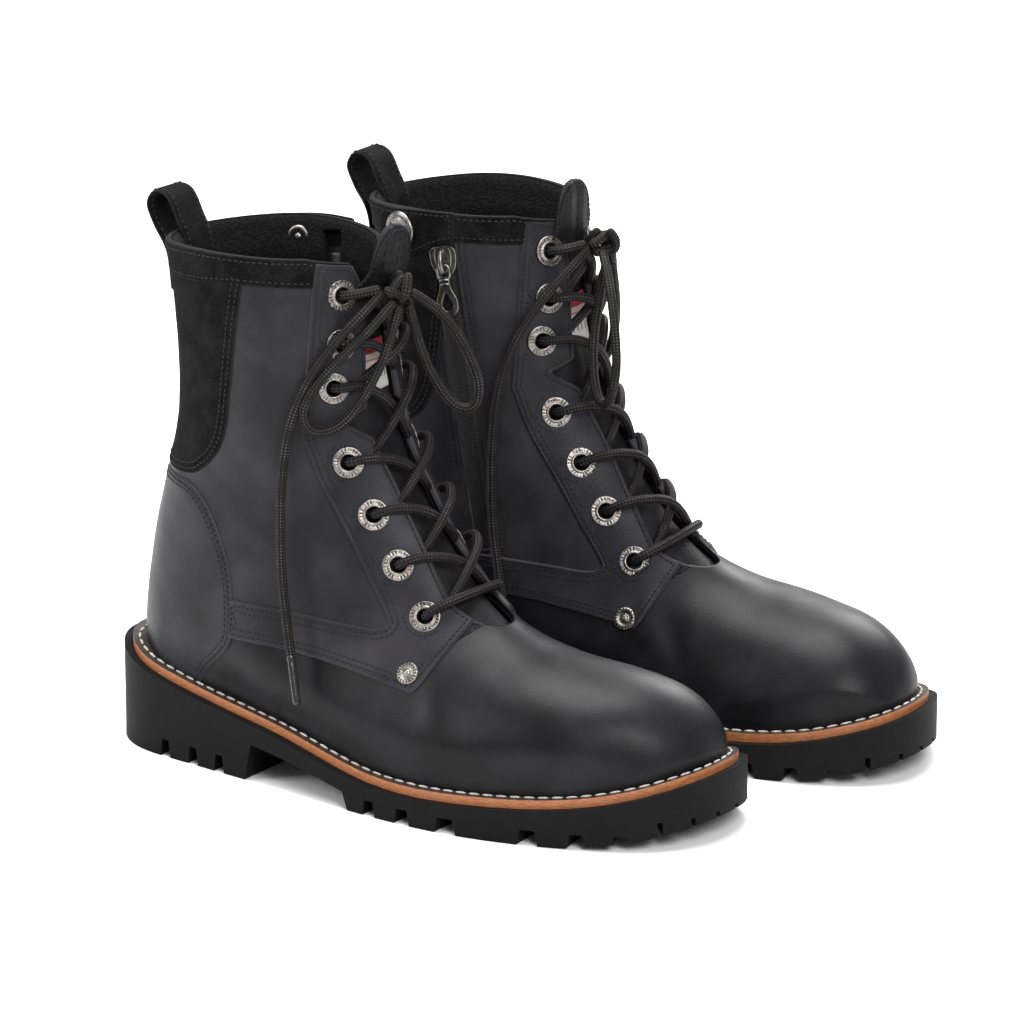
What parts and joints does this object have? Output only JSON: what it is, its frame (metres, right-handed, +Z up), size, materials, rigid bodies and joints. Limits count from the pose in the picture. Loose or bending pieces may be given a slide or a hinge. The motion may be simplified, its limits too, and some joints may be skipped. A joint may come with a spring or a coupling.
{
  "type": "pair of lace-up leather work boots",
  "caption": "Pair of black lace-up ankle boots in leather with side zips, press-stud flaps, welted lugged rubber soles and tied waxed laces.",
  "frame": {"origin": "on the floor under the middle of the standing pair", "axes": "+Z up, -Y the way the toes point, +Y towards the heels, -X the side of the right boot, which stands at -X; each boot's zip faces the other boot"},
  "size_m": [0.249, 0.3385, 0.2521],
  "materials": {
    "smooth_leather": "oiled smooth black leather, satin with a fine grain and soft creases",
    "suede": "matt black nubuck",
    "tongue_leather": "smooth black leather, perforated at the top",
    "stiffener_board": "moulded thermoplastic toe puff and heel stiffener",
    "lining_textile": "black padded mesh lining",
    "sole_rubber": "matt black rubber",
    "welt_leather": "tan leather edge, dark brown on top",
    "insole_board": "brown insole board",
    "shank_steel": "spring steel",
    "footbed_foam": "textile-covered foam",
    "antique_nickel": "antique nickel",
    "zip_tape": "woven black tape with a dark metal chain",
    "zip_metal": "gunmetal",
    "waxed_lace": "braided waxed black lace"
  },
  "bodies": {
    "right_boot": {"heel_counter_right": "smooth_leather", "vamp_right": "smooth_leather", "collar_band_right": "suede", "back_patch_right": "suede", "quarter_outer_right": "smooth_leather", "quarter_inner_right": "smooth_leather", "facing_outer_right": "smooth_leather", "facing_inner_right": "smooth_leather", "stiffeners_right": "stiffener_board", "lining_right": "lining_textile", "outsole_right": "sole_rubber", "welt_right": "welt_leather", "insole_right": "insole_board", "shank_right": "shank_steel", "footbed_right": "footbed_foam", "tongue_right": "tongue_leather", "eyelets_right": "antique_nickel", "rivets_right": "antique_nickel", "zip_chain_right": "zip_tape", "pull_loop_right": "suede", "lacing_right": "waxed_lace", "lace_knot_right": "waxed_lace", "lace_loop_outer_right": "waxed_lace", "lace_loop_inner_right": "waxed_lace", "lace_end_outer_right": "waxed_lace", "lace_end_inner_right": "waxed_lace"},
    "left_boot": {"heel_counter_left": "smooth_leather", "vamp_left": "smooth_leather", "collar_band_left": "suede", "back_patch_left": "suede", "quarter_outer_left": "smooth_leather", "quarter_inner_left": "smooth_leather", "facing_outer_left": "smooth_leather", "facing_inner_left": "smooth_leather", "stiffeners_left": "stiffener_board", "lining_left": "lining_textile", "outsole_left": "sole_rubber", "welt_left": "welt_leather", "insole_left": "insole_board", "shank_left": "shank_steel", "footbed_left": "footbed_foam", "tongue_left": "tongue_leather", "eyelets_left": "antique_nickel", "rivets_left": "antique_nickel", "zip_chain_left": "zip_tape", "pull_loop_left": "suede", "lacing_left": "waxed_lace", "lace_knot_left": "waxed_lace", "lace_loop_outer_left": "waxed_lace", "lace_loop_inner_left": "waxed_lace", "lace_end_outer_left": "waxed_lace", "lace_end_inner_left": "waxed_lace"},
    "right_zip_slider": {"zip_slider_right": "zip_metal"},
    "right_zip_pull": {"zip_pull_right": "zip_metal"},
    "right_snap_flap": {"snap_flap_right": "smooth_leather", "snap_button_right": "antique_nickel"},
    "left_zip_slider": {"zip_slider_left": "zip_metal"},
    "left_zip_pull": {"zip_pull_left": "zip_metal"},
    "left_snap_flap": {"snap_flap_left": "smooth_leather", "snap_button_left": "antique_nickel"}
  },
  "joints": [
    {"name": "left_boot_lift", "type": "slide", "parent": "right_boot", "child": "left_boot", "axis": [0, 0, 1], "range_m": [0, 0.3]},
    {"name": "right_zip", "type": "slide", "parent": "right_boot", "child": "right_zip_slider", "axis": [-0.0277, -0.1488, -0.9885], "range_m": [0, 0.104]},
    {"name": "right_zip_pull_hinge", "type": "hinge", "parent": "right_zip_slider", "child": "right_zip_pull", "pos_m": [-0.01777, 0.08561, 0.21304], "axis": [-0.1191, -0.9813, 0.1511], "range_deg": [0, 120]},
    {"name": "right_snap_flap_hinge", "type": "hinge", "parent": "right_boot", "child": "right_snap_flap", "pos_m": [-0.01964, 0.0813, 0.22398], "axis": [0, 0, -1], "range_deg": [0, 60]},
    {"name": "left_zip", "type": "slide", "parent": "left_boot", "child": "left_zip_slider", "axis": [0.0368, -0.1469, -0.9885], "range_m": [0, 0.104]},
    {"name": "left_zip_pull_hinge", "type": "hinge", "parent": "left_zip_slider", "child": "left_zip_pull", "pos_m": [0.01054, 0.05402, 0.21304], "axis": [-0.1788, 0.9722, -0.1511], "range_deg": [0, 120]},
    {"name": "left_snap_flap_hinge", "type": "hinge", "parent": "left_boot", "child": "left_snap_flap", "pos_m": [0.01266, 0.04984, 0.22398], "axis": [0, 0, 1], "range_deg": [0, 40]}
  ]
}
